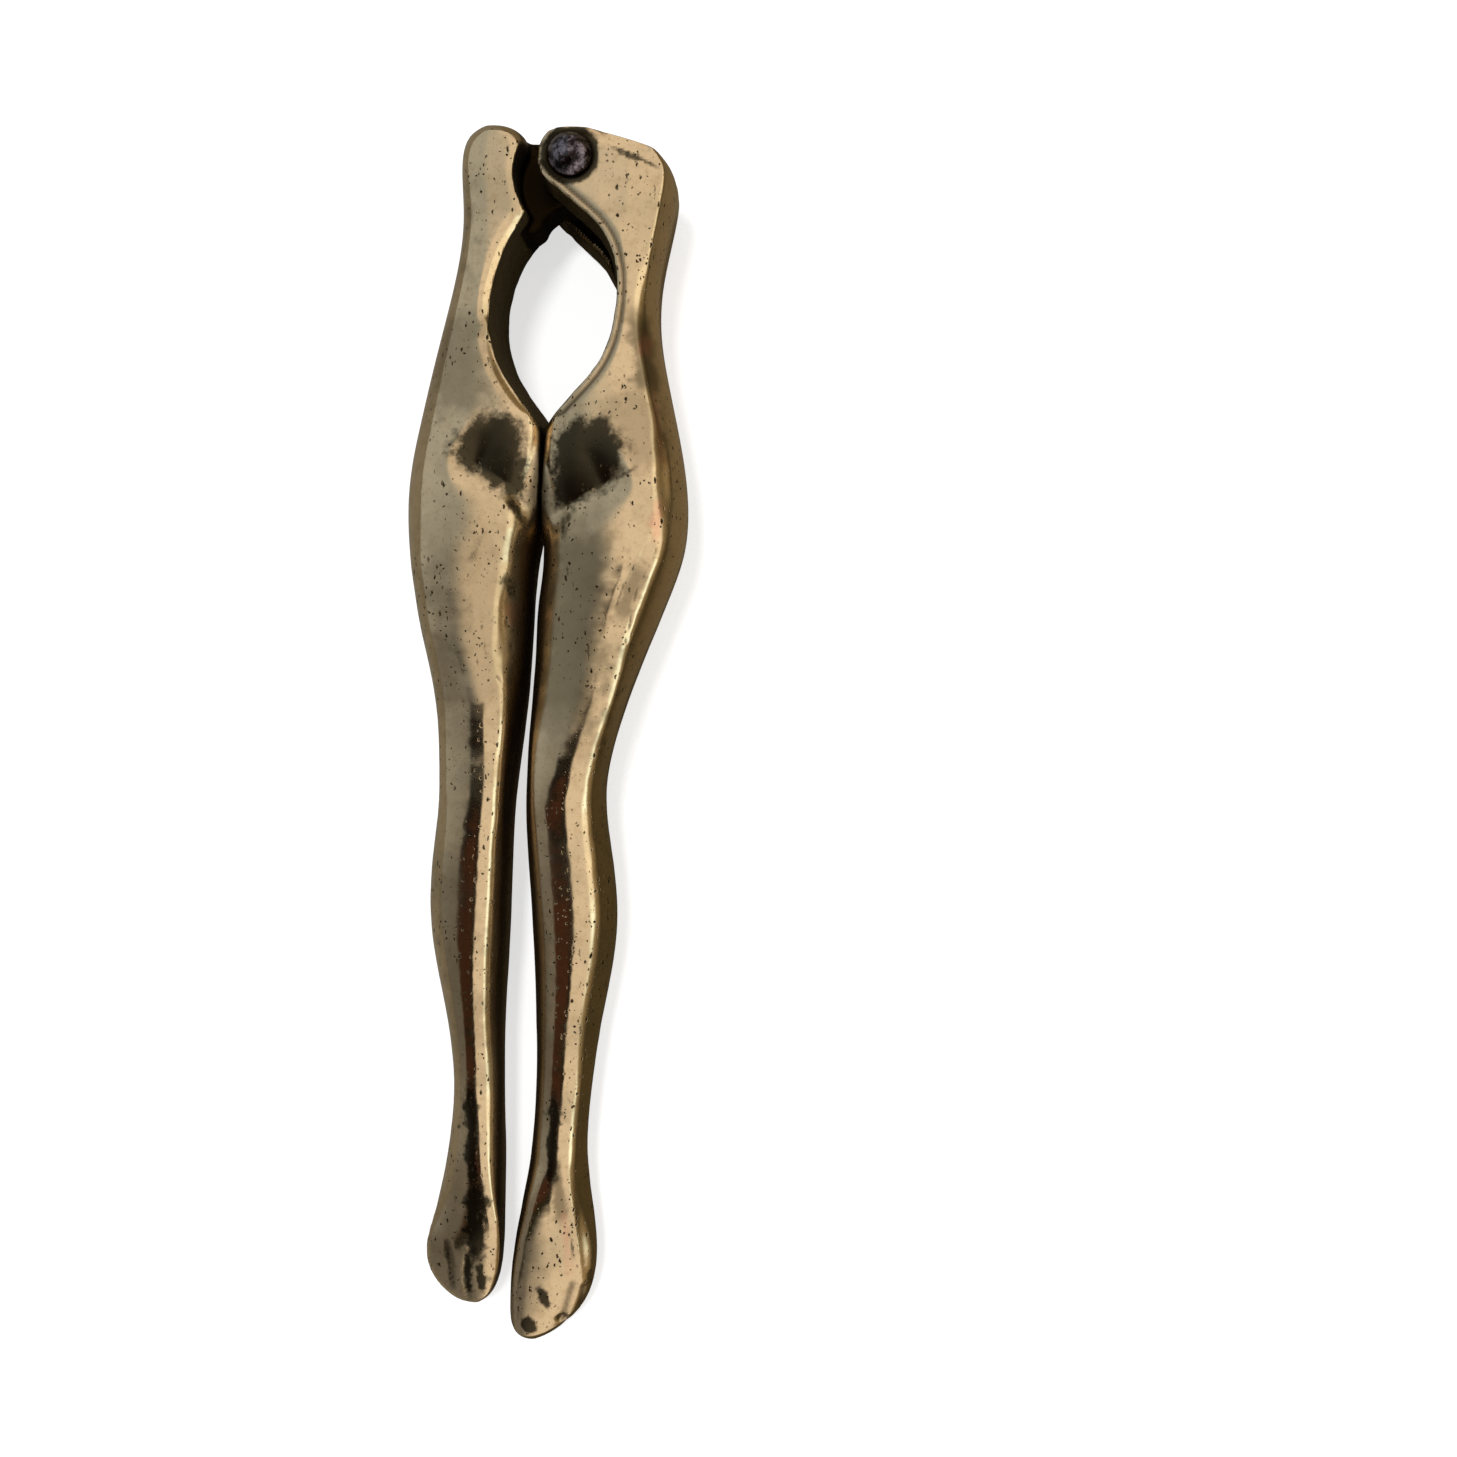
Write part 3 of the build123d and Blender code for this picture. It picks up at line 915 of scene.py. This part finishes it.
def iron():
    """Dark rivet metal, blotched purple and grey, rubbed brighter on its high spots."""
    material, tree, shader = metal("blotched_iron")
    place = millimetres(tree)
    blotch = grain(tree, place, 1.1, 5.0, 0.7)
    fine = grain(tree, place, 0.35, 3.0)
    rubbed = ramp(tree, blotch, 0.42, 0.64)
    colour = mix_colour(tree, rubbed, (0.020, 0.015, 0.016), (0.30, 0.26, 0.30))
    colour = mix_colour(tree, ramp(tree, fine, 0.55, 0.75), colour, (0.10, 0.07, 0.06))
    rough = plus(tree, times(tree, blotch, -0.25), 0.27)
    height = plus(tree, blotch, times(tree, fine, 0.3))
    surface(tree, shader, colour, rough, height, 0.05)
    return material


# ---------------------------------------------------------------- floor, light and camera


def floor_material():
    """Glowing white. Its reflection in the metal is darker, and darkest on the lower right."""
    material = bpy.data.materials.new("floor_white")
    material.use_nodes = True
    tree = material.node_tree
    shader = tree.nodes["Principled BSDF"]
    shader.inputs["Base Color"].default_value = (0.93, 0.93, 0.93, 1)
    shader.inputs["Roughness"].default_value = 1.0
    shader.inputs["Specular IOR Level"].default_value = 0.0
    shader.inputs["Emission Color"].default_value = (1, 1, 1, 1)
    shader.inputs["Emission Strength"].default_value = FLOOR_GLOW
    x, y, _ = node(tree, "SeparateXYZ", {0: millimetres(tree)}).outputs
    right = mix_colour(tree, ramp(tree, y, -10.0, 30.0), (0.13, 0.10, 0.05), (0.30, 0.24, 0.15))
    seen = mix_colour(tree, ramp(tree, x, -18.0, -2.0), (0.38, 0.355, 0.30), right)
    dark = node(tree, "BsdfDiffuse", {"Color": seen})
    mirrored = node(tree, "LightPath").outputs["Is Glossy Ray"]
    mix = node(tree, "MixShader", {0: mirrored, 1: shader.outputs[0], 2: dark.outputs[0]})
    tree.links.new(mix.outputs[0], tree.nodes["Material Output"].inputs["Surface"])
    return material


def floor():
    """Wide white sheet under the castings."""
    bpy.ops.mesh.primitive_grid_add(
        x_subdivisions=2, y_subdivisions=2, size=FLOOR_SIZE, location=(0, 0, FLOOR_LEVEL)
    )
    ground = bpy.context.object
    ground.name = "floor"
    ground.data.materials.append(floor_material())


def bright_sky(tree, x, y, z):
    """Dim grey left side, bright warm right side, a window far right and a low brown ground."""
    left = mix_colour(tree, ramp(tree, y, -0.40, 0.15), (0.17, 0.165, 0.16), (0.42, 0.45, 0.47))
    sky = mix_colour(tree, ramp(tree, x, -0.30, 0.06), left, (0.80, 0.73, 0.66))
    far = ramp(tree, y, -0.18, -0.28)
    window = mix_colour(tree, far, (1.10, 1.04, 0.90), (1.35, 1.55, 1.52))
    sky = mix_colour(tree, ramp(tree, x, 0.76, 0.84), sky, window)
    low = times(tree, ramp(tree, z, 0.38, 0.28), ramp(tree, x, 0.1, 0.5))
    ground = mix_colour(tree, ramp(tree, z, 0.28, 0.0), (0.30, 0.23, 0.13), (0.07, 0.055, 0.028))
    return mix_colour(tree, low, sky, ground)


def dark_figure(tree, x, y):
    """Mask and colour of a tall dark shape below the middle, red in its middle part."""
    narrow = times(tree, ramp(tree, y, -0.27, -0.20), 0.24)
    leftmost = math_node(tree, "SUBTRACT", math_node(tree, "SUBTRACT", x, narrow), -0.66)
    across = times(tree, ramp(tree, leftmost, 0.0, 0.10), ramp(tree, x, 0.22, 0.14))
    down = times(tree, ramp(tree, y, -0.140, -0.165), ramp(tree, y, -0.71, -0.62))
    red = mix_colour(tree, ramp(tree, x, -0.08, 0.12), (0.056, 0.024, 0.014), (0.014, 0.010, 0.006))
    colour = mix_colour(tree, ramp(tree, y, -0.27, -0.31), (0.008, 0.008, 0.007), red)
    colour = mix_colour(tree, ramp(tree, y, -0.50, -0.56), colour, (0.018, 0.018, 0.010))
    return times(tree, across, down), colour


def studio_world():
    """The metal reflects the pattern, the camera sees white, and all else is lit by plain grey."""
    world = bpy.data.worlds.new("studio")
    bpy.context.scene.world = world
    world.use_nodes = True
    tree = world.node_tree
    direction = node(tree, "TexCoord").outputs["Generated"]
    x, y, z = node(tree, "SeparateXYZ", {0: direction}).outputs
    figure, dark = dark_figure(tree, x, y)
    sky = mix_colour(tree, figure, bright_sky(tree, x, y, z), dark)
    rays = node(tree, "LightPath").outputs
    colour = mix_colour(tree, rays["Is Glossy Ray"], (0.30, 0.30, 0.30), sky)
    colour = mix_colour(tree, rays["Is Camera Ray"], colour, (1.0, 1.0, 1.0))
    tree.links.new(colour, tree.nodes["Background"].inputs["Color"])


def key_light():
    """Soft disk from the upper left, for the drop shadow. The metal doesn't reflect it."""
    key = link(bpy.data.objects.new("key", bpy.data.lights.new("key", "AREA")))
    key.data.shape = "DISK"
    key.data.size = 0.12
    key.data.energy = 1.2
    key.location = (-0.10, 0.12, 0.62)
    key.rotation_euler = (-key.location).to_track_quat("-Z", "Y").to_euler()
    key.visible_glossy = False


def camera():
    """Looks straight down from close above, a little to the right of the nutcracker."""
    data = bpy.data.cameras.new("camera")
    data.lens = 33.0
    data.sensor_width = 36.0
    data.clip_start = MM
    view = link(bpy.data.objects.new("camera", data))
    view.location = (0.02126, 0.00285, 0.1673)
    bpy.context.scene.camera = view


bpy.context.scene.view_settings.view_transform = "Standard"
left_leg()
right_leg()
rivet()
floor()
studio_world()
key_light()
camera()
